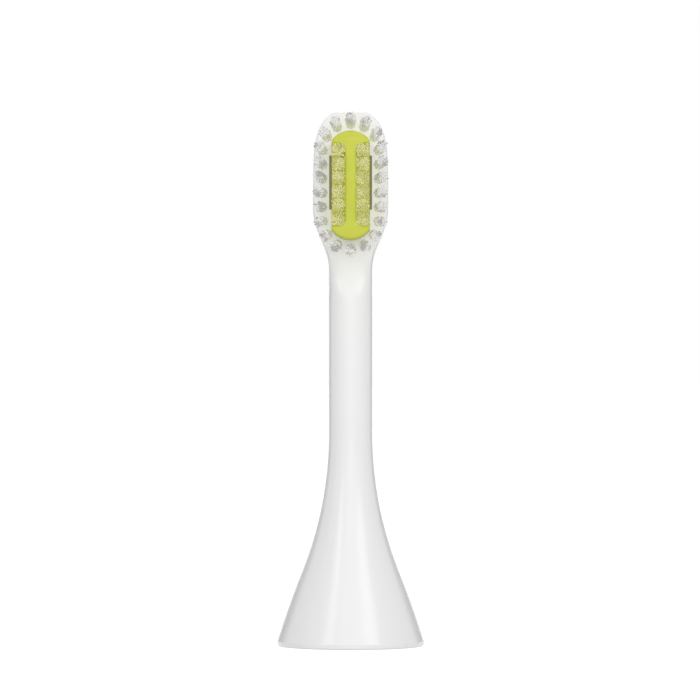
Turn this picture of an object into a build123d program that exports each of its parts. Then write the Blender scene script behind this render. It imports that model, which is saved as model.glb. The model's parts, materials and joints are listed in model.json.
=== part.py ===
from build123d import *
from math import pi, sin
import os

# Push-on head of an electric toothbrush, in millimetres.
# The rim that meets the handle lies on z = 0, the neck runs up +Z and the bristles point to -Y.

# Skirt and neck
overall_height = 85.0
rim_diameter = 23.4
rim_land = 0.8
rim_chamfer = 0.2
skirt_wall = 1.3
knee_diameter = 15.4
knee_height = 12.0
flare_top_height = 34.0
neck_diameter = 6.9
neck_wall = 0.9
stiffener_count = 4
stiffener_thickness = 0.8
stiffener_foot_height = 9.0

# Tuft plate
head_width = 12.0
plate_length = 15.8
shoulder_length = 9.0
tip_length = 10.7
tip_flat = 5.2
tip_squareness = 3.0
back_squareness = 2.75
plate_front = 2.2
plate_back = 2.8
side_depth = 10.0
face_length = 23.6
scoop_radius = 12.0

# Bristle tufts
ring_side_margin = 1.5
ring_tip_margin = 1.8
ring_foot_margin = 1.9
ring_foot_length = 5.2
ring_steps = 11
column_tufts = 6
column_wall = 0.325
ring_tuft_diameter = 1.5
tuft_sides = 8
outer_tuft_length = 9.9
inner_tuft_length = 9.3
hole_depth = 2.6
hole_clearance = 0.02

# Soft insert with its raised I
insert_side_gap = 1.5
insert_end_gap = 1.4
insert_end_rise = 1.5
insert_corner_round = 0.5
insert_recess = 0.8
insert_proud = 0.3
insert_clearance = 0.03
rib_height = 7.6
rib_chamfer = 0.2
web_width = 1.7
web_flare = 1.3
cap_depth = 2.0

# Side rails
rail_thickness = 0.36
rail_length = 8.4
rail_rise = 0.5
rail_height = 5.0
rail_depth = 1.5
rail_clearance = 0.02

# Drive socket and its spring clip
barrel_diameter = 7.6
barrel_mouth_height = 6.0
shoulder_height = 20.0
seat_length = 1.8
spigot_top_height = 38.0
socket_clearance = 0.05
bore_diameter = 3.4
bore_top_height = 32.0
bore_lead_in = 0.4
key_width = 0.6
key_depth = 0.4
clip_width = 1.3
clip_thickness = 0.25
clip_length = 10.0
clip_centre_height = 13.5
clip_slot_depth = 0.9
clip_clearance = 0.05

# Sizes that follow from the ones above
rim_radius = rim_diameter / 2
knee_radius = knee_diameter / 2
neck_radius = neck_diameter / 2
bore_radius = bore_diameter / 2
barrel_radius = barrel_diameter / 2
spigot_radius = neck_radius - neck_wall - socket_clearance
head_centre_height = overall_height - tip_length
shoulder_top_height = overall_height - plate_length
shoulder_foot_height = shoulder_top_height - shoulder_length
scoop_top_height = overall_height - face_length
scoop_depth = neck_radius - plate_front
scoop_foot_height = scoop_top_height - (2 * scoop_radius * scoop_depth - scoop_depth**2) ** 0.5
ring_top_height = overall_height - ring_tip_margin
ring_foot_height = scoop_top_height + ring_foot_margin
ring_half_length = (ring_top_height - ring_foot_height) / 2
ring_half_width = head_width / 2 - ring_side_margin
insert_half_width = ring_half_width - insert_side_gap
insert_half_length = ring_half_length - insert_end_gap
column_half_length = insert_half_length - cap_depth
column_offset = (web_width / 2 + insert_half_width) / 2
column_width = insert_half_width - web_width / 2
column_pitch = 2 * column_half_length / column_tufts
column_tuft_diameter = min(column_width, column_pitch) - 2 * column_wall
rail_offset = insert_half_width + insert_clearance + rail_thickness / 2
field_height = (ring_top_height + ring_foot_height) / 2
plate_plane = Plane(origin=(0, -plate_front, field_height), x_dir=(1, 0, 0), z_dir=(0, -1, 0))
from_foot = (Align.CENTER, Align.CENTER, Align.MIN)


def turned(*points):
    # Solid of revolution of an outline given by its corners
    return revolve(make_face(Polyline(*points, close=True).edges()), Axis.Z)


def ease(height, low, high):
    # Share from 0 below low to 1 above high, level at both ends
    share = min(max((height - low) / (high - low), 0), 1)
    return share * share * (3 - 2 * share)


def fade(share, power):
    # Falls from 1 at share 0 to 0 at share 1 along a superellipse
    return (1 - min(share, 1) ** power) ** (1 / power)


def tip_share(height):
    # How far a height above the widest section is on the way to the tip
    reach = (overall_height - head_centre_height) / fade(tip_flat / head_width, tip_squareness)
    return max(height - head_centre_height, 0) / reach


def half_width(height):
    # The neck swells into the plate at the shoulders, and the plate closes in a rounded tip
    swell = (head_width / 2 - neck_radius) * ease(height, shoulder_foot_height, shoulder_top_height)
    return (neck_radius + swell) * fade(tip_share(height), tip_squareness)


def head_section(height):
    # A deep half ellipse in front, later cut flat, and a shallow one behind
    share = ease(height, scoop_foot_height, head_centre_height)
    front = neck_radius + (side_depth - neck_radius) * share
    back = neck_radius + (plate_back - neck_radius) * share
    back *= fade(tip_share(height), back_squareness)
    centre = (0, 0, height)
    behind = EllipticalCenterArc(centre, half_width(height), back, 0, arc_size=180)
    ahead = EllipticalCenterArc(centre, half_width(height), front, 180, arc_size=180)
    return make_face([behind, ahead])


def head_heights():
    # Evenly spaced along the scoop and the shoulders, then closer together towards the tip
    neck_run = shoulder_foot_height - scoop_foot_height
    shoulder_run = shoulder_top_height - shoulder_foot_height
    tip_run = overall_height - head_centre_height
    heights = [scoop_foot_height + neck_run * step / 3 for step in range(3)]
    heights += [shoulder_foot_height + shoulder_run * step / 5 for step in range(6)]
    heights += [head_centre_height + tip_run * sin(pi / 2 * step / 5) for step in range(6)]
    return heights


def on_plate(shape, place=(0, 0)):
    # Moves a solid drawn on the tuft face to its place there
    return plate_plane * (Pos(*place) * shape)


def ring_places():
    # Round at the tip, straight along the sides and a longer oval at the foot, where the plate tapers
    tip = CenterArc((0, ring_half_length - ring_half_width), ring_half_width, 0, 90)
    foot_centre = (0, ring_foot_length - ring_half_length)
    foot = EllipticalCenterArc(foot_centre, ring_half_width, ring_foot_length, 270, arc_size=90)
    side = Wire([foot, Line(foot @ 1, tip @ 0), tip])
    points = [side.position_at(step / ring_steps) for step in range(ring_steps + 1)]
    right = [(point.X, point.Y) for point in points]
    left = [(-point.X, point.Y) for point in points[-2:0:-1]]
    return right + left


def column_places():
    rows = [(row + 0.5) * column_pitch - column_half_length for row in range(column_tufts)]
    return [(side * column_offset, row) for side in (-1, 1) for row in rows]


def rail_places():
    return [(-rail_offset, rail_rise), (rail_offset, rail_rise)]


def bundle(diameter, clearance, foot, top):
    # Round bundle of filaments, or the hole it fills, with its sides kept few
    radius = diameter / 2 + clearance
    section = RegularPolygon(radius, tuft_sides, major_radius=False)
    return extrude(Pos(0, 0, foot) * section, amount=top - foot)


def rail(clearance):
    size = (rail_thickness + 2 * clearance, rail_length + 2 * clearance)
    return Pos(0, 0, -rail_depth) * Box(*size, rail_depth + rail_height, align=from_foot)


def insert_outline():
    # Straight sides, shallow arc ends and rounded corners
    width = insert_half_width
    length = insert_half_length
    corner = length - insert_end_rise
    top = ThreePointArc((width, corner), (0, length), (-width, corner))
    foot = ThreePointArc((-width, -corner), (0, -length), (width, -corner))
    outline = make_face([top, Line(top @ 1, foot @ 0), foot, Line(foot @ 1, top @ 0)])
    return fillet(outline.vertices(), insert_corner_round)


def make_body():
    # Skirt and neck in one turned outline, from the top of the neck down to the rim
    neck = Line((neck_radius, 0, scoop_foot_height), (neck_radius, 0, flare_top_height))
    flare = TangentArc(neck @ 1, (knee_radius, 0, knee_height), tangent=(0, 0, -1))
    cone = TangentArc(flare @ 1, (rim_radius, 0, rim_land), tangent=flare % 1)
    rim = Polyline(cone @ 1, (rim_radius, 0, 0), (0, 0, 0), (0, 0, scoop_foot_height), neck @ 0)
    skirt = revolve(make_face([neck, flare, cone] + rim.edges()), Axis.Z)
    skirt = chamfer(skirt.edges().group_by(Axis.Z)[0], rim_chamfer)
    body = skirt + loft([head_section(height) for height in head_heights()])

    # Flat tuft face that runs out on the front of the neck in a scoop
    face_foot = Vector(0, -plate_front, scoop_top_height)
    scoop = TangentArc(face_foot, face_foot + Vector(0, -1, -1) * scoop_radius, tangent=(0, 0, -1))
    above = overall_height + scoop_radius
    front = Polyline(scoop @ 1, (0, (scoop @ 1).Y, above), (0, -plate_front, above), face_foot)
    body -= extrude(make_face([scoop] + front.edges()), amount=head_width, dir=(1, 0, 0), both=True)

    # Hollow for the handle's nose and the drive socket, with stiffeners left standing round the barrel
    barrel_seat = barrel_radius + socket_clearance
    spigot_seat = spigot_radius + socket_clearance
    shoulder = shoulder_height + socket_clearance
    hollow_top = spigot_top_height + socket_clearance
    hollow = turned(
        (0, 0, 0),
        (rim_radius - skirt_wall, 0, 0),
        (knee_radius - skirt_wall, 0, knee_height),
        (barrel_seat, 0, shoulder - seat_length),
        (barrel_seat, 0, shoulder),
        (spigot_seat, 0, shoulder),
        (spigot_seat, 0, hollow_top),
        (0, 0, hollow_top),
    )
    blade = Box(rim_radius, stiffener_thickness, overall_height, align=(Align.MIN, Align.CENTER, Align.MIN))
    blade = Pos(barrel_seat, 0, stiffener_foot_height) * blade
    for index in range(stiffener_count):
        hollow -= Rot(0, 0, (index + 0.5) * 360 / stiffener_count) * blade
    body -= hollow

    # Recess for the soft insert, slots for the rails and blind holes for the tufts
    body -= on_plate(extrude(offset(insert_outline(), insert_clearance), amount=-insert_recess))
    body -= [on_plate(rail(rail_clearance), place) for place in rail_places()]
    ring_hole = bundle(ring_tuft_diameter, hole_clearance, -hole_depth, hole_depth)
    column_hole = bundle(column_tuft_diameter, hole_clearance, -hole_depth, hole_depth)
    body -= [on_plate(ring_hole, place) for place in ring_places()]
    body -= [on_plate(column_hole, place) for place in column_places()]
    return body


def make_insert():
    # Thin base that the column tufts pass through, under a raised I of web and caps
    outline = insert_outline()
    base = extrude(Pos(0, 0, -insert_recess) * outline, amount=insert_recess + insert_proud)
    bay = Rectangle(2 * insert_half_width, 2 * column_half_length)
    for side in (-1, 1):
        outline -= Pos(side * (web_width / 2 + insert_half_width), 0) * bay
    corners = outline.vertices().filter_by_position(Axis.X, -web_width, web_width)
    corners = corners.filter_by_position(Axis.Y, -column_half_length, column_half_length)
    rib = extrude(fillet(corners, web_flare), amount=rib_height)
    rib = chamfer(rib.edges().group_by(Axis.Z)[-1], rib_chamfer)
    insert = base + rib
    hole = bundle(column_tuft_diameter, hole_clearance, -hole_depth, insert_proud)
    insert -= [Pos(*place) * hole for place in column_places()]
    return on_plate(insert)


def make_socket():
    socket = turned(
        (0, 0, barrel_mouth_height),
        (barrel_radius, 0, barrel_mouth_height),
        (barrel_radius, 0, shoulder_height),
        (spigot_radius, 0, shoulder_height),
        (spigot_radius, 0, spigot_top_height),
        (0, 0, spigot_top_height),
    )
    socket -= turned(
        (0, 0, barrel_mouth_height),
        (bore_radius + bore_lead_in, 0, barrel_mouth_height),
        (bore_radius, 0, barrel_mouth_height + bore_lead_in),
        (bore_radius, 0, bore_top_height),
        (0, 0, bore_top_height),
    )

    # Groove that sets which way the head faces, and the slot that holds the clip
    groove_length = bore_top_height - barrel_mouth_height
    groove = Box(key_width, bore_radius + key_depth, groove_length, align=(Align.CENTER, Align.MAX, Align.MIN))
    socket -= Pos(0, 0, barrel_mouth_height) * groove
    slot_size = (clip_width + 2 * clip_clearance, bore_radius + clip_slot_depth, clip_length + 2 * clip_clearance)
    slot = Box(*slot_size, align=(Align.CENTER, Align.MIN, Align.CENTER))
    return socket - Pos(0, 0, clip_centre_height) * slot


def make_clip():
    # Bowed leaf whose ends bear on the slot floor and whose middle just clears the shaft
    floor = bore_radius + clip_slot_depth
    crest = bore_radius + clip_clearance + clip_thickness
    low = clip_centre_height - clip_length / 2
    high = clip_centre_height + clip_length / 2
    back = ThreePointArc((0, floor, low), (0, crest, clip_centre_height), (0, floor, high))
    front = Pos(0, -clip_thickness, 0) * back
    leaf = make_face([back, Line(back @ 1, front @ 1), front, Line(back @ 0, front @ 0)])
    return extrude(leaf, amount=clip_width / 2, dir=(1, 0, 0), both=True)


def save(name, shape):
    export_step(shape, os.path.join("parts", name + ".step"))


os.makedirs("parts", exist_ok=True)
save("brush_body", make_body())
save("massage_rib", make_insert())
save("drive_socket", make_socket())
save("spring_clip", make_clip())

for name, place in zip(("side_rail_left", "side_rail_right"), rail_places()):
    save(name, on_plate(rail(0), place))

outer_tuft = bundle(ring_tuft_diameter, 0, -hole_depth, outer_tuft_length)
for number, place in enumerate(ring_places(), start=1):
    save(f"outer_tuft_{number:02d}", on_plate(outer_tuft, place))

inner_tuft = bundle(column_tuft_diameter, 0, -hole_depth, inner_tuft_length)
for number, place in enumerate(column_places(), start=1):
    save(f"inner_tuft_{number:02d}", on_plate(inner_tuft, place))
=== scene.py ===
import bpy
import bmesh
import json
import math
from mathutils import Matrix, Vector
from mathutils.bvhtree import BVHTree
from mathutils.geometry import barycentric_transform
from mathutils.kdtree import KDTree

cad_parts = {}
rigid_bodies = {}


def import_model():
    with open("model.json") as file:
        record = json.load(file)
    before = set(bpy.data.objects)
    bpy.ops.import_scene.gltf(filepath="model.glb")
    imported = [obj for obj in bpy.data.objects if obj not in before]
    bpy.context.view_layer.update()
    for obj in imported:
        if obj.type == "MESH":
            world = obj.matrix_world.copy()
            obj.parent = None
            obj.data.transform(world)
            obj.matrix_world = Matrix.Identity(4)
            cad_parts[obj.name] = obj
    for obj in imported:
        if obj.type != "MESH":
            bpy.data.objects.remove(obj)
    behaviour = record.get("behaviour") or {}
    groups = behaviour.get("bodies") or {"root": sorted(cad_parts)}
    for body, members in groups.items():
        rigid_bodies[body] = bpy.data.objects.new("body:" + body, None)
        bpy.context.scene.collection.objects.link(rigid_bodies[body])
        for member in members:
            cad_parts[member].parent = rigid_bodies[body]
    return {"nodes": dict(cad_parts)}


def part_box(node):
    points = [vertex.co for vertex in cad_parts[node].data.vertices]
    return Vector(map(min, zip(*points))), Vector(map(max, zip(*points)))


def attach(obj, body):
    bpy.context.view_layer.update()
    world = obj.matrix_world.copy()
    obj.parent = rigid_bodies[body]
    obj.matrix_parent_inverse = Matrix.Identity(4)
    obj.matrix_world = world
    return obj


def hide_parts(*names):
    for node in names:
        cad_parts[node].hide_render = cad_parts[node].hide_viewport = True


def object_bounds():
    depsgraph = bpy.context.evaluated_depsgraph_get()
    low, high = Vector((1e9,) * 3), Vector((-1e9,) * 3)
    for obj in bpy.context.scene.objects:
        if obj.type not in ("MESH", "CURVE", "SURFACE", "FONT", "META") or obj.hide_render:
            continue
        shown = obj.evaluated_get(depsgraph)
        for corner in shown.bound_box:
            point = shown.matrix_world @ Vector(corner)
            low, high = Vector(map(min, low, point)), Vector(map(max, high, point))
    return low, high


for leftOver in list(bpy.data.objects):
    bpy.data.objects.remove(leftOver)

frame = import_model()
nodes = frame["nodes"]
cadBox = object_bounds()
scene = bpy.context.scene
mm = 0.001
sameSpot = 1e-6  # metres; corners closer than this are one corner
insertRecess = 0.8 * mm
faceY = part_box("massage_rib")[1].y - insertRecess  # the insert's back lies at the bottom of a recess in the tuft face
print("frame loaded,", len(nodes), "CAD nodes")


# Node helpers, for shaders and for geometry

class Wire:
    def __init__(self, graph, socket):
        self.graph = graph
        self.socket = socket

    def calc(self, operation, left, right):
        return self.graph.node("ShaderNodeMath", {"operation": operation}, {0: left, 1: right})

    def __add__(self, other):
        return self.calc("ADD", self, other)

    def __radd__(self, other):
        return self.calc("ADD", other, self)

    def __sub__(self, other):
        return self.calc("SUBTRACT", self, other)

    def __rsub__(self, other):
        return self.calc("SUBTRACT", other, self)

    def __mul__(self, other):
        return self.calc("MULTIPLY", self, other)

    def __rmul__(self, other):
        return self.calc("MULTIPLY", other, self)

    def __truediv__(self, other):
        return self.calc("DIVIDE", self, other)

    def __rtruediv__(self, other):
        return self.calc("DIVIDE", other, self)

    def __pow__(self, other):
        return self.calc("POWER", self, other)

    def __rpow__(self, other):
        return self.calc("POWER", other, self)


class Graph:
    def __init__(self, tree):
        self.tree = tree

    # type, then settings, then sockets; the answer is one output, the first or the one named
    def node(self, kind, settings=None, sockets=None, out=0):
        made = self.tree.nodes.new(kind)
        for name, value in (settings or {}).items():
            setattr(made, name, value)
        for name, value in (sockets or {}).items():
            if isinstance(value, Wire):
                self.tree.links.new(value.socket, made.inputs[name])
            else:
                made.inputs[name].default_value = value
        return Wire(self, made.outputs[out]) if made.outputs else made

    def another(self, wire, name):
        return Wire(self, wire.socket.node.outputs[name])


def newMaterial(name):
    material = bpy.data.materials.new(name)
    material.use_nodes = True
    material.node_tree.nodes.clear()
    return material, Graph(material.node_tree)


def surface(graph, shader):
    graph.node("ShaderNodeOutputMaterial", {}, {"Surface": shader})


def principled(graph, sockets):
    surface(graph, graph.node("ShaderNodeBsdfPrincipled", {}, sockets))


def objectPlace(graph):
    return graph.node("ShaderNodeTexCoord", {}, {}, "Object")


def noise(graph, place, scale, detail=2.0, roughness=0.5):
    sockets = {"Vector": place, "Scale": scale, "Detail": detail, "Roughness": roughness}
    return graph.node("ShaderNodeTexNoise", {}, sockets, "Fac")


def blend(graph, factor, low, high):
    return graph.node("ShaderNodeMix", {"data_type": "RGBA"}, {0: factor, 6: low, 7: high}, 2)


def relief(graph, height, strength, depth):
    return graph.node("ShaderNodeBump", {}, {"Strength": strength, "Distance": depth, "Height": height})


def addObject(name, data):
    made = bpy.data.objects.new(name, data)
    scene.collection.objects.link(made)
    return made


# Glossy white moulding

bodyFinish = {
    "light": (0.92, 0.92, 0.915, 1),
    "shade": (0.895, 0.90, 0.895, 1),
    "flowScale": 90.0,
    "gloss": 0.24,
    "glossSpread": 0.06,
    "glossScale": 1500.0,
    "peel": 0.05,
    "peelScale": 420.0,
    "peelDepth": 0.2 * mm,
    "refraction": 1.49,
}
neckBlend = {  # where the tuft face runs out on the front of the neck, the moulding is blended and shows no edge
    "low": 52.4 * mm,
    "high": 62.4 * mm,
    "fadeFrom": 60.6 * mm,
    "front": -0.3 * mm,
    "step": 0.4 * mm,
    "halfWidth": 3.6 * mm,
    "crease": math.radians(9),
    "near": 1.2 * mm,
    "reach": 2.6 * mm,
    "passes": 60,
    "pull": 0.6,  # how far a pass draws a normal towards its neighbours
    "hold": 4,  # how soon the evened normals take over from the edge of the blend
}
rimRound = {  # small moulded round where the tuft face meets the sides of the plate
    "width": 0.4 * mm,
    "segments": 4,
    "above": 62.8 * mm,
    "sharp": math.radians(30),
    "flat": 0.999,
    "level": 0.01 * mm,
}


def whitePlastic(finish):
    material, g = newMaterial("white_plastic_gloss")
    place = objectPlace(g)
    flow = noise(g, place, finish["flowScale"], detail=3.0)
    peel = noise(g, place, finish["peelScale"], detail=2.0)
    mottle = noise(g, place, finish["glossScale"], detail=4.0)
    principled(g, {
        "Base Color": blend(g, flow, finish["shade"], finish["light"]),
        "Roughness": finish["gloss"] + finish["glossSpread"] * (mottle - 0.5),
        "IOR": finish["refraction"],
        "Normal": relief(g, peel, finish["peel"], finish["peelDepth"]),
    })
    return material


def inBlend(place, plan):
    return plan["low"] - sameSpot < place.z < plan["high"] + sameSpot and place.y < plan["front"]


def cutGrid(skin, plan):
    up, right = Vector((0, 0, 1)), Vector((1, 0, 0))
    rows = int((plan["high"] - plan["low"]) / plan["step"] + 0.5)
    columns = int(2 * plan["halfWidth"] / plan["step"] + 0.5)
    cuts = [(up * (plan["low"] + plan["step"] * row), up) for row in range(rows + 1)]
    cuts += [(right * (plan["step"] * column - plan["halfWidth"]), right) for column in range(columns + 1)]

    def atFront(face):
        foot = min(corner.co.z for corner in face.verts)
        return face.calc_center_median().y < plan["front"] and plan["low"] - sameSpot < foot < plan["high"]

    for number, (place, across) in enumerate(cuts):
        faces = [face for face in skin.faces if number == 0 or atFront(face)]  # the first cut goes all round
        edges = {edge for face in faces for edge in face.edges}
        corners = {corner for face in faces for corner in face.verts}
        bmesh.ops.bisect_plane(skin, geom=faces + list(edges) + list(corners), dist=0.1 * sameSpot,
                               plane_co=place, plane_no=across)


def blendWeights(skin, plan):
    skin.normal_update()
    crease = [edge for edge in skin.edges if edge.is_manifold and inBlend(edge.verts[0].co, plan) and
              inBlend(edge.verts[1].co, plan) and edge.calc_face_angle() > plan["crease"]]
    spots = [corner.co for edge in crease for corner in edge.verts]
    finder = KDTree(len(spots))
    for index, spot in enumerate(spots):
        finder.insert(spot, index)
    finder.balance()

    def ramp(value, full, none):
        return min(max((none - value) / (none - full), 0), 1)

    weights = {}
    for corner in skin.verts:
        if inBlend(corner.co, plan):
            away = finder.find(corner.co)[2]
            weight = ramp(away, plan["near"], plan["reach"]) * ramp(corner.co.z, plan["fadeFrom"], plan["high"])
            weights[corner.index] = weight * ramp(-corner.co.z, -plan["low"] - 2 * plan["step"], -plan["low"])
    return weights


def roundRim(skin, plan):
    skin.normal_update()
    tuftFace = {face for face in skin.faces if face.normal.y < -plan["flat"] and
                abs(face.calc_center_median().y - faceY) < plan["level"]}
    loose = {edge for face in tuftFace for edge in face.edges
             if sum(other in tuftFace for other in edge.link_faces) == 1}
    loops = []
    while loose:
        loop, waiting = set(), [loose.pop()]
        while waiting:
            edge = waiting.pop()
            loop.add(edge)
            for corner in edge.verts:
                for other in corner.link_edges:
                    if other in loose:
                        loose.remove(other)
                        waiting.append(other)
        loops.append(loop)
    outline = max(loops, key=lambda loop: max(edge.verts[0].co.x for edge in loop))  # the others are holes
    rim = [edge for edge in outline if edge.calc_face_angle() > plan["sharp"] and
           min(corner.co.z for corner in edge.verts) > plan["above"]]
    mark = skin.faces.layers.int.new("rounded")
    made = bmesh.ops.bevel(skin, geom=rim, offset=plan["width"], offset_type="OFFSET", segments=plan["segments"],
                           profile=0.5, affect="EDGES", clamp_overlap=False)
    for face in made["faces"]:
        face[mark] = 1
        for corner in face.verts:
            corner.co.z = min(corner.co.z, cadBox[1][2])  # the tip stays at its height
    print("rim rounded,", len(rim), "edges,", len(made["faces"]), "faces")


def bodySkin(plan, rounding):
    skin = bmesh.new()
    skin.from_mesh(nodes["brush_body"].data)
    bmesh.ops.remove_doubles(skin, verts=skin.verts, dist=sameSpot)
    cutGrid(skin, plan)
    roundRim(skin, rounding)
    skin.verts.index_update()
    weights = blendWeights(skin, plan)
    neighbours = [[edge.other_vert(corner).index for edge in corner.link_edges] for corner in skin.verts]
    mesh = bpy.data.meshes.new("white_body")
    skin.to_mesh(mesh)
    skin.free()
    return mesh, weights, neighbours


# Every corner takes the exact normal of the CAD surface it lies on, and the rounded rim its own
def bodyNormals(mesh):
    cad = nodes["brush_body"].data
    cadCorners = [corner.vector.copy() for corner in cad.corner_normals]
    cadFaces = [(tuple(face.vertices), tuple(face.loop_indices)) for face in cad.polygons]
    places = [vertex.co for vertex in cad.vertices]
    lookup = BVHTree.FromPolygons(places, [face[0] for face in cadFaces])
    rounded = [mark.value for mark in mesh.attributes["rounded"].data]
    normals = [None] * len(mesh.loops)
    gathered = [Vector() for vertex in mesh.vertices]
    for face in mesh.polygons:
        if not rounded[face.index]:
            cadVertices, cadLoops = cadFaces[lookup.find_nearest(face.center)[2]]
            triangle = [places[index] for index in cadVertices] + [cadCorners[index] for index in cadLoops]
            for loop in face.loop_indices:
                vertex = mesh.loops[loop].vertex_index
                normals[loop] = barycentric_transform(mesh.vertices[vertex].co, *triangle).normalized()
                gathered[vertex] += normals[loop]
    shared = [total.normalized() if total.length else vertex.normal.copy()
              for total, vertex in zip(gathered, mesh.vertices)]
    for face in mesh.polygons:
        if rounded[face.index]:
            for loop in face.loop_indices:
                normals[loop] = shared[mesh.loops[loop].vertex_index].copy()
    return normals, shared


# Round the run-out the normals are evened out from corner to corner
def evenNormals(mesh, normals, shared, weights, neighbours, plan):
    for step in range(plan["passes"]):
        evened = {}
        for index, weight in weights.items():
            around = sum((shared[other] for other in neighbours[index]), Vector()) / len(neighbours[index])
            evened[index] = shared[index].lerp(around, plan["pull"] * weight).normalized()
        for index, normal in evened.items():
            shared[index] = normal
    for loop in mesh.loops:
        share = min(plan["hold"] * weights.get(loop.vertex_index, 0), 1)
        normals[loop.index] = normals[loop.index].lerp(shared[loop.vertex_index], share).normalized()


def whiteBody(finish, plan, rounding):
    mesh, weights, neighbours = bodySkin(plan, rounding)
    normals, shared = bodyNormals(mesh)
    mesh.attributes.remove(mesh.attributes["rounded"])
    evenNormals(mesh, normals, shared, weights, neighbours, plan)
    mesh.shade_smooth()
    mesh.normals_split_custom_set(normals)
    mesh.materials.clear()
    mesh.materials.append(whitePlastic(finish))
    piece = addObject("white_body", mesh)
    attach(piece, "root")
    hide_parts("brush_body")
    print("white body,", len(mesh.polygons), "faces")


whiteBody(bodyFinish, neckBlend, rimRound)


# Soft lime insert, with its moulded edges rounded

insertFinish = {
    "lime": (0.66, 0.69, 0.075, 1),
    "deep": (0.52, 0.56, 0.035, 1),
    "cloudScale": 380.0,
    "grain": 0.12,
    "grainScale": 3800.0,
    "grainDepth": 0.04 * mm,
    "roughness": 0.42,
    "roughSpread": 0.12,
    "softness": 0.15,
    "softColour": (0.6, 0.6, 0.1),
    "softDepth": 0.8 * mm,
    "edgeRound": 0.13 * mm,
    "edgeSegments": 3,
    "roundFrom": math.radians(28),
    "sharpFrom": math.radians(35),
    "flatWithin": math.radians(1),
}


def limeElastomer(finish):
    material, g = newMaterial("lime_elastomer_satin")
    place = objectPlace(g)
    cloud = noise(g, place, finish["cloudScale"], detail=3.0)
    grain = noise(g, place, finish["grainScale"], detail=3.0)
    principled(g, {
        "Base Color": blend(g, cloud, finish["deep"], finish["lime"]),
        "Roughness": finish["roughness"] + finish["roughSpread"] * grain,
        "Subsurface Weight": finish["softness"],
        "Subsurface Radius": finish["softColour"],
        "Subsurface Scale": finish["softDepth"],
        "Normal": relief(g, grain, finish["grain"], finish["grainDepth"]),
    })
    return material


def mergedCopy(node, name, flatWithin):
    copy = bmesh.new()
    copy.from_mesh(nodes[node].data)
    bmesh.ops.remove_doubles(copy, verts=copy.verts, dist=sameSpot)
    bmesh.ops.dissolve_limit(copy, angle_limit=flatWithin, verts=copy.verts, edges=copy.edges)
    mesh = bpy.data.meshes.new(name)
    copy.to_mesh(mesh)
    copy.free()
    return addObject(name, mesh)


def bakeModifiers(piece):
    evaluated = piece.evaluated_get(bpy.context.evaluated_depsgraph_get())
    solid = bpy.data.meshes.new_from_object(evaluated)
    piece.modifiers.clear()
    piece.data = solid


def softInsert(finish):
    piece = mergedCopy("massage_rib", "soft_insert", finish["flatWithin"])
    rounding = piece.modifiers.new("rounding", "BEVEL")
    rounding.width = finish["edgeRound"]
    rounding.segments = finish["edgeSegments"]
    rounding.limit_method = "ANGLE"
    rounding.angle_limit = finish["roundFrom"]
    rounding.harden_normals = False
    bakeModifiers(piece)
    piece.data.shade_smooth()
    piece.data.set_sharp_from_angle(angle=finish["sharpFrom"])
    piece.data.materials.clear()
    piece.data.materials.append(limeElastomer(finish))
    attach(piece, "root")
    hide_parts("massage_rib")


softInsert(insertFinish)
print("insert finished")


# Bristle tufts: every filament is a thin rod that springs from its hole and leans a little by itself

outerBristles = {
    "name": "outer_bristles",
    "tufts": [f"outer_tuft_{number:02d}" for number in range(1, 23)],
    "filaments": 56,
    "bundleRadius": 0.68 * mm,
    "filamentRadius": 0.11 * mm,
    "rootDepth": 1.0 * mm,
    "trim": 0.03,
    "fan": 0.3,
    "square": 0.0,
    "lean": 0.6 * mm,
    "stray": 0.06 * mm,
    "footRadius": 0.77 * mm,
    "footProud": 0.02 * mm,
    "fleckScale": 1000.0,
    "seed": 11,
}
innerBristles = {
    "name": "inner_bristles",
    "tufts": [f"inner_tuft_{number:02d}" for number in range(1, 13)],
    "filaments": 112,
    "bundleRadius": 0.68 * mm,
    "filamentRadius": 0.11 * mm,
    "rootDepth": 1.0 * mm,
    "trim": 0.05,
    "fan": 0.52,
    "square": 1.0,
    "lean": 0.0,
    "stray": 0.06 * mm,
    "footRadius": 0.77 * mm,
    "footProud": 0.32 * mm,
    "fleckScale": 1000.0,
    "seed": 29,
}
filament = {  # what all the filaments have in common
    "sides": 6,
    "rings": 6,
    "spin": 6.283,  # radians; a tuft's spiral starts anywhere on its circle
    "goldenAngle": 2.39996,
    "angleStray": 0.25,
    "reachLow": -0.05,
    "reachHigh": 0.03,
    "fleckContrast": 2.4,
    "toneLow": 0.3,
    "toneHigh": 0.7,
    "tipTaper": 0.3,
    "tipEdge": 60.0,
    "bend": 1.5,
    "footSides": 16,
    "footRings": 3,
    "leanAlong": 0.5,  # tufts lean half as much along the head as across it
}
clearFinish = {
    "name": "clear_nylon_filament",
    "clear": (0.97, 0.95, 0.955, 1),
    # the smoky grey is a painted reflection: it stands in for the dark surroundings refracted in the clear filament
    # tips
    "darkRefraction": (0.53, 0.505, 0.51, 1),
    # the foot colour is painted shade: the roots are drawn a little darker and warmer where they stand deep among the
    # tufts
    "foot": (0.93, 0.92, 0.90, 1),
}
limeLitFinish = {  # the clear filaments that stand between the lime walls; their lime tint is painted light, the walls' lime bounce and the lime seen through them
    "name": "clear_nylon_lime_lit",
    "clear": (0.85, 0.83, 0.38, 1),
    # the smoky tone is a painted reflection: the dark surroundings refracted in the clear tips, tinted lime
    "darkRefraction": (0.70, 0.68, 0.26, 1),
    # the foot colour is painted lime bounce: the roots take more of the lime walls' light
    "foot": (0.88, 0.88, 0.28, 1),
}
nylon = {
    "darkRefractionFrom": 0.42,
    "darkRefractionTo": 0.78,
    "streakScale": 2500.0,
    "roughness": 0.16,
    "roughSpread": 0.14,
    "refraction": 1.53,
}


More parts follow.
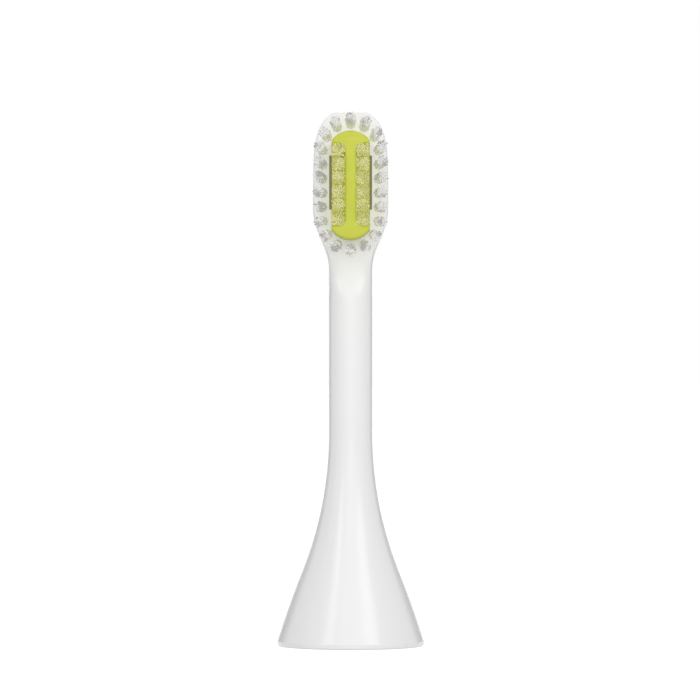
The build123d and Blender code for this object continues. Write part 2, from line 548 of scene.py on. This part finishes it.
def clearNylon(finish):
    material, g = newMaterial(finish["name"])
    tone = g.node("ShaderNodeAttribute", {"attribute_name": "tone"}, {}, "Fac")
    rise = g.node("ShaderNodeAttribute", {"attribute_name": "rise"}, {}, "Fac")
    streak = noise(g, objectPlace(g), nylon["streakScale"], detail=2.0)
    # the tone decides where the painted dark refraction shows on a filament
    limits = {"Value": tone, "From Min": nylon["darkRefractionFrom"], "From Max": nylon["darkRefractionTo"]}
    darkRefractionShare = g.node("ShaderNodeMapRange", {"interpolation_type": "SMOOTHSTEP"}, limits)
    upper = blend(g, darkRefractionShare, finish["clear"], finish["darkRefraction"])
    principled(g, {
        # towards the root the colour turns to the painted root shade
        "Base Color": blend(g, rise * rise, finish["foot"], upper),
        "Roughness": nylon["roughness"] + nylon["roughSpread"] * streak,
        "IOR": nylon["refraction"],
    })
    return material


def filamentTree(shape):
    tree = bpy.data.node_groups.new("bristle_tufts", "GeometryNodeTree")
    face = tree.interface
    face.new_socket("Roots", in_out="INPUT", socket_type="NodeSocketGeometry")
    for name, kind in (
        ("Filaments", "NodeSocketInt"), ("Bundle radius", "NodeSocketFloat"), ("Filament radius", "NodeSocketFloat"),
        ("Length", "NodeSocketFloat"), ("Trim", "NodeSocketFloat"), ("Fan", "NodeSocketFloat"),
        ("Square", "NodeSocketFloat"), ("Lean", "NodeSocketFloat"), ("Stray", "NodeSocketFloat"),
        ("Foot radius", "NodeSocketFloat"), ("Foot height", "NodeSocketFloat"), ("Fleck scale", "NodeSocketFloat"),
        ("Seed", "NodeSocketInt"), ("Finish", "NodeSocketMaterial"),
    ):
        face.new_socket(name, in_out="INPUT", socket_type=kind)
    face.new_socket("Bristles", in_out="OUTPUT", socket_type="NodeSocketGeometry")
    g = Graph(tree)
    given = g.node("NodeGroupInput", {}, {}, "Roots")

    def size(name):
        return g.another(given, name)

    def chance(low, high, draw):
        sockets = {2: low, 3: high, "Seed": size("Seed") + draw}
        return g.node("FunctionNodeRandomValue", {"data_type": "FLOAT"}, sockets, 1)

    def keep(geometry, name, value, kind="FLOAT"):
        settings = {"data_type": kind, "domain": "POINT"}
        sockets = {"Geometry": geometry, "Name": name, "Value": value}
        return g.node("GeometryNodeStoreNamedAttribute", settings, sockets)

    def recall(name, kind="FLOAT"):
        return g.node("GeometryNodeInputNamedAttribute", {"data_type": kind}, {"Name": name})

    def vector(x, y, z):
        return g.node("ShaderNodeCombineXYZ", {}, {"X": x, "Y": y, "Z": z})

    def added(left, right):
        return g.node("ShaderNodeVectorMath", {"operation": "ADD"}, {0: left, 1: right})

    def scaled(value, factor):
        return g.node("ShaderNodeVectorMath", {"operation": "SCALE"}, {0: value, "Scale": factor})

    def maths(operation, value):
        return g.node("ShaderNodeMath", {"operation": operation}, {0: value})

    # One point for each filament, set out on a sunflower spiral round its hole's centre
    points = g.node("GeometryNodeMeshToPoints", {"mode": "VERTICES"}, {"Mesh": given})
    roots = keep(points, "turn", chance(0.0, shape["spin"], 1))
    amounts = {"Geometry": roots, "Amount": size("Filaments")}
    copies = g.node("GeometryNodeDuplicateElements", {"domain": "POINT"}, amounts)
    order = g.another(copies, "Duplicate Index")
    angle = order * shape["goldenAngle"] + recall("turn") + chance(-shape["angleStray"], shape["angleStray"], 2)
    share = maths("SQRT", (order + 0.5) / size("Filaments"))
    reach = size("Bundle radius") * (share + chance(shape["reachLow"], shape["reachHigh"], 3))
    cosine, sine = maths("COSINE", angle), maths("SINE", angle)
    offset = vector(reach * cosine, 0.0, reach * sine)

    # The tips spread from there, towards a square where the tufts stand close
    sides = {0: maths("ABSOLUTE", cosine), 1: maths("ABSOLUTE", sine)}
    flatSide = g.node("ShaderNodeMath", {"operation": "MAXIMUM"}, sides)
    spread = (1.0 + size("Fan")) / (1.0 - size("Square") * (1.0 - flatSide)) - 1.0
    stray = vector(size("Stray") * chance(-1.0, 1.0, 4), 0.0, size("Stray") * chance(-1.0, 1.0, 5))
    lean = scaled(recall("outward", "FLOAT_VECTOR"), size("Lean"))
    tip = added(added(scaled(offset, spread), lean), stray)
    filled = keep(copies, "tip", tip, "FLOAT_VECTOR")
    filled = g.node("GeometryNodeSetPosition", {}, {"Geometry": filled, "Offset": offset})

    # Neighbours are clear together or carry the painted dark refraction together
    fleck = g.node("ShaderNodeTexNoise", {}, {"Scale": size("Fleck scale"), "Detail": 0.0}, "Fac")
    tone = (fleck - 0.5) * shape["fleckContrast"] + chance(shape["toneLow"], shape["toneHigh"], 6)
    filled = keep(filled, "tone", tone)

    # One filament along -Y: rings crowd towards the rounded tip
    rod = g.node("GeometryNodeMeshCone", {"fill_type": "NGON"}, {
        "Vertices": shape["sides"], "Side Segments": shape["rings"], "Fill Segments": 1, "Depth": 1.0,
        "Radius Top": size("Filament radius"), "Radius Bottom": size("Filament radius"),
    })
    spot = g.node("ShaderNodeSeparateXYZ", {}, {0: g.node("GeometryNodeInputPosition")}, "X")
    left = 1.0 - g.another(spot, "Z")
    rod = keep(rod, "rise", 1.0 - left * left)
    waist = 1.0 - shape["tipTaper"] * recall("rise") ** shape["tipEdge"]
    straight = vector(spot * waist, recall("rise") * size("Length") * -1.0, g.another(spot, "Y") * waist)
    rod = g.node("GeometryNodeSetPosition", {}, {"Geometry": rod, "Position": straight})
    stretch = vector(1.0, 1.0 - size("Trim") * chance(0.0, 1.0, 7), 1.0)
    planted = g.node("GeometryNodeInstanceOnPoints", {}, {"Points": filled, "Instance": rod, "Scale": stretch})

    # The foot of the bundle, where the filaments are packed tight and fill the hole
    foot = g.node("GeometryNodeMeshCone", {"fill_type": "TRIANGLE_FAN"}, {
        "Vertices": shape["footSides"], "Side Segments": 1, "Fill Segments": shape["footRings"],
        "Depth": size("Foot height"), "Radius Top": size("Foot radius"), "Radius Bottom": size("Foot radius"),
    })
    upright = (math.radians(90), 0, 0)
    packed = g.node("GeometryNodeInstanceOnPoints", {}, {"Points": roots, "Instance": foot, "Rotation": upright})

    # Both as one mesh, with the filaments bent towards their tips
    both = g.node("GeometryNodeJoinGeometry", {}, {"Geometry": planted})
    tree.links.new(packed.socket, both.socket.node.inputs["Geometry"])
    whole = g.node("GeometryNodeRealizeInstances", {}, {"Geometry": both})
    sway = scaled(recall("tip", "FLOAT_VECTOR"), recall("rise") ** shape["bend"])
    whole = g.node("GeometryNodeSetPosition", {}, {"Geometry": whole, "Offset": sway})
    whole = g.node("GeometryNodeSetShadeSmooth", {}, {"Geometry": whole})
    whole = g.node("GeometryNodeSetMaterial", {}, {"Geometry": whole, "Material": size("Finish")})
    g.node("NodeGroupOutput", {}, {"Bristles": whole})
    return tree


def plantBristles(tree, tuft, finish):
    boxes = [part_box(name) for name in tuft["tufts"]]
    rootY = faceY + tuft["rootDepth"]
    tipY = boxes[0][0].y
    centres = [(low + high) / 2 for low, high in boxes]
    middle = sum(centres, Vector()) / len(centres)
    mesh = bpy.data.meshes.new(tuft["name"])
    mesh.from_pydata([(centre.x, rootY, centre.z) for centre in centres], [], [])
    outward = mesh.attributes.new("outward", "FLOAT_VECTOR", "POINT")
    for point, centre in zip(outward.data, centres):
        away = Vector((centre.x - middle.x, 0, filament["leanAlong"] * (centre.z - middle.z)))
        point.vector = away.normalized()
    piece = addObject(tuft["name"], mesh)
    grow = piece.modifiers.new("grow", "NODES")
    grow.node_group = tree
    sizes = {
        "Filaments": tuft["filaments"],
        "Bundle radius": tuft["bundleRadius"],
        "Filament radius": tuft["filamentRadius"],
        "Length": rootY - tipY,
        "Trim": tuft["trim"],
        "Fan": tuft["fan"],
        "Square": tuft["square"],
        "Lean": tuft["lean"],
        "Stray": tuft["stray"],
        "Foot radius": tuft["footRadius"],
        "Foot height": tuft["rootDepth"] + tuft["footProud"],
        "Fleck scale": tuft["fleckScale"],
        "Seed": tuft["seed"],
        "Finish": finish,
    }
    for socket in tree.interface.items_tree:
        if socket.name in sizes:
            grow[socket.identifier] = sizes[socket.name]
    bakeModifiers(piece)
    for spent in ("turn", "tip", "outward"):
        piece.data.attributes.remove(piece.data.attributes[spent])
    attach(piece, "root")
    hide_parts(*tuft["tufts"])
    piece.visible_shadow = False  # clear filaments let the light through
    piece.visible_diffuse = False
    print(tuft["name"], len(piece.data.polygons), "faces")


bristleTree = filamentTree(filament)
plantBristles(bristleTree, outerBristles, clearNylon(clearFinish))
plantBristles(bristleTree, innerBristles, clearNylon(limeLitFinish))


# Metal strips, clip and drive socket

railFinish = {
    "name": "rail_steel_drawn_painted_shade",
    # dark steel, darkened further and tinted olive with painted shade and painted lime bounce from the gap beside the
    # insert
    "colour": (0.19, 0.185, 0.095, 1),
    "roughness": 0.32,
}
clipFinish = {
    "name": "clip_steel_rolled",
    "colour": (0.62, 0.62, 0.63, 1),
    "roughness": 0.22,
}
steel = {  # what both metals have in common: fine lines drawn along Z
    "dull": 0.75,
    "lineScale": (9000, 9000, 300),
    "lineDetail": 4.0,
    "lineMix": 0.6,
    "line": 0.2,
    "lineDepth": 0.03 * mm,
    "roughSpread": 0.15,
}
socketFinish = {
    "name": "socket_plastic_matte",
    "light": (0.78, 0.78, 0.76, 1),
    "shade": (0.72, 0.72, 0.70, 1),
    "cloudScale": 160.0,
    "grain": 0.15,
    "grainScale": 5200.0,
    "grainDepth": 0.05 * mm,
    "roughness": 0.45,
    "roughSpread": 0.12,
}


def brushedSteel(finish):
    material, g = newMaterial(finish["name"])
    drawn = g.node("ShaderNodeMapping", {}, {"Vector": objectPlace(g), "Scale": steel["lineScale"]})
    lines = noise(g, drawn, 1.0, steel["lineDetail"], steel["lineMix"])
    dull = tuple(steel["dull"] * part for part in finish["colour"][:3]) + (1,)
    principled(g, {
        "Base Color": blend(g, lines, dull, finish["colour"]),
        "Metallic": 1.0,
        "Roughness": finish["roughness"] + steel["roughSpread"] * lines,
        "Normal": relief(g, lines, steel["line"], steel["lineDepth"]),
    })
    return material


def hardPlastic(finish):
    material, g = newMaterial(finish["name"])
    place = objectPlace(g)
    cloud = noise(g, place, finish["cloudScale"], detail=3.0)
    grain = noise(g, place, finish["grainScale"], detail=3.0)
    principled(g, {
        "Base Color": blend(g, cloud, finish["shade"], finish["light"]),
        "Roughness": finish["roughness"] + finish["roughSpread"] * grain,
        "Normal": relief(g, grain, finish["grain"], finish["grainDepth"]),
    })
    return material


railSteel = brushedSteel(railFinish)
for node in ("side_rail_left", "side_rail_right"):
    nodes[node].data.materials[0] = railSteel
    nodes[node].visible_shadow = False  # the clear tufts scatter light all round these thin strips
    nodes[node].visible_diffuse = False
nodes["spring_clip"].data.materials[0] = brushedSteel(clipFinish)
nodes["drive_socket"].data.materials[0] = hardPlastic(socketFinish)
print("metal and socket finished")


# Studio: white floor, even room light, soft boxes, and two dark flags that draw the white edges

studio = {
    "roomLight": 0.40,
    "floorColour": (0.35, 0.35, 0.35, 1),
    "floorGlow": 0.38,
    "floorShown": 0.92,
    "floorReach": 6.0,
    "floorDrop": 0.02 * mm,
    "boxes": [  # name, azimuth, low and high elevation, width in degrees, brightness
        ("soft_box_left", -37, 14, 50, 13, 3.0),
        ("soft_box_right", 36, 16, 50, 22, 2.9),
        ("front_panel", 0, 0, 45, 36, 1.15),
        ("back_panel", 180, 40, 70, 50, 1.05),
        ("back_box_left", 212, 24, 54, 20, 2.6),
        ("back_box_right", 146, 24, 54, 10, 3.0),
    ],
    "boxDistance": 0.6,
    "boxAim": (0, 0, 0.03),
    "flags": [("flag_left", -141, 28), ("flag_right", 141, 28)],  # name, azimuth, width in degrees
    "flagDistance": 0.2,
    "flagFoot": 2 * mm,
    "flagHeight": 0.112,
    "flagColour": (0.04, 0.04, 0.04, 1),
}


def grey(level):
    return (level, level, level, 1)


# One level for the light on the object, another where the camera, a reflection or a clear part shows the background
def backdrop(graph, level, shown):
    seen = graph.node("ShaderNodeLightPath", {}, {}, "Is Camera Ray")
    gloss = graph.another(seen, "Is Glossy Ray")
    clear = graph.another(seen, "Is Transmission Ray")
    looked = graph.node("ShaderNodeMath", {"operation": "ADD", "use_clamp": True}, {0: seen + gloss, 1: clear})
    return blend(graph, looked, grey(level), grey(shown))


def roomLight(level):
    world = bpy.data.worlds.new("room")
    scene.world = world
    world.use_nodes = True
    world.node_tree.nodes.clear()
    g = Graph(world.node_tree)
    room = g.node("ShaderNodeBackground", {}, {"Color": backdrop(g, level, 1.0)})
    g.node("ShaderNodeOutputWorld", {}, {"Surface": room})


def whiteFloor(plan):
    mesh = bpy.data.meshes.new("floor")
    reach, height = plan["floorReach"], -plan["floorDrop"]
    mesh.from_pydata([(-reach, -reach, height), (reach, -reach, height), (reach, reach, height),
                      (-reach, reach, height)], [], [(0, 1, 2, 3)])
    floor = addObject("floor", mesh)
    material, g = newMaterial("white_floor")
    paint = g.node("ShaderNodeBsdfDiffuse", {}, {"Color": plan["floorColour"]})
    glow = backdrop(g, plan["floorGlow"], plan["floorShown"])
    fill = g.node("ShaderNodeEmission", {}, {"Color": glow, "Strength": 1.0})
    surface(g, g.node("ShaderNodeAddShader", {}, {0: paint, 1: fill}))
    mesh.materials.append(material)


def softBox(name, azimuth, low, high, width, brightness, plan):
    distance = plan["boxDistance"]
    turn, lift = math.radians(azimuth), math.radians((low + high) / 2)
    away = Vector((math.sin(turn) * math.cos(lift), -math.cos(turn) * math.cos(lift), math.sin(lift)))
    lamp = bpy.data.lights.new(name, "AREA")
    lamp.shape = "RECTANGLE"
    lamp.size = 2 * distance * math.tan(math.radians(width / 2))
    lamp.size_y = 2 * distance * math.tan(math.radians((high - low) / 2))
    lamp.energy = brightness * math.pi * lamp.size * lamp.size_y
    box = addObject(name, lamp)
    box.location = Vector(plan["boxAim"]) + away * distance
    box.rotation_euler = away.to_track_quat("Z", "Y").to_euler()
    box.visible_glossy = math.cos(turn) > 0  # the boxes behind would glare on the flat tip


def darkFlag(name, azimuth, width, plan):
    turn, distance = math.radians(azimuth), plan["flagDistance"]
    away = Vector((math.sin(turn), -math.cos(turn), 0)) * distance
    side = Vector((math.cos(turn), math.sin(turn), 0)) * distance * math.tan(math.radians(width / 2))
    low, high = Vector((0, 0, plan["flagFoot"])), Vector((0, 0, plan["flagHeight"]))
    mesh = bpy.data.meshes.new(name)
    mesh.from_pydata([away + side + low, away - side + low, away - side + high, away + side + high],
                     [], [(0, 1, 2, 3)])
    flag = addObject(name, mesh)
    material, g = newMaterial(name)
    surface(g, g.node("ShaderNodeBsdfDiffuse", {}, {"Color": plan["flagColour"]}))
    mesh.materials.append(material)
    flag.visible_camera = False
    flag.visible_shadow = False  # the back boxes shine past it


roomLight(studio["roomLight"])
whiteFloor(studio)
for plan in studio["flags"]:
    darkFlag(*plan, studio)
for plan in studio["boxes"]:
    softBox(*plan, studio)
print("studio lit")


# Camera level with the middle of the neck, far off with a long lens

shot = {
    "distance": 0.785,
    "height": 0.0472,
    "side": -0.0001,
    "fieldWidth": 0.1117,
    "sensor": 36,
}


def takeShot(plan):
    lens = bpy.data.cameras.new("camera")
    lens.sensor_width = plan["sensor"]
    lens.lens = plan["sensor"] * plan["distance"] / plan["fieldWidth"]
    camera = addObject("camera", lens)
    camera.location = (plan["side"], -plan["distance"], plan["height"])
    camera.rotation_euler = (math.radians(90), 0, 0)
    scene.camera = camera


takeShot(shot)
scene.view_settings.view_transform = "Standard"
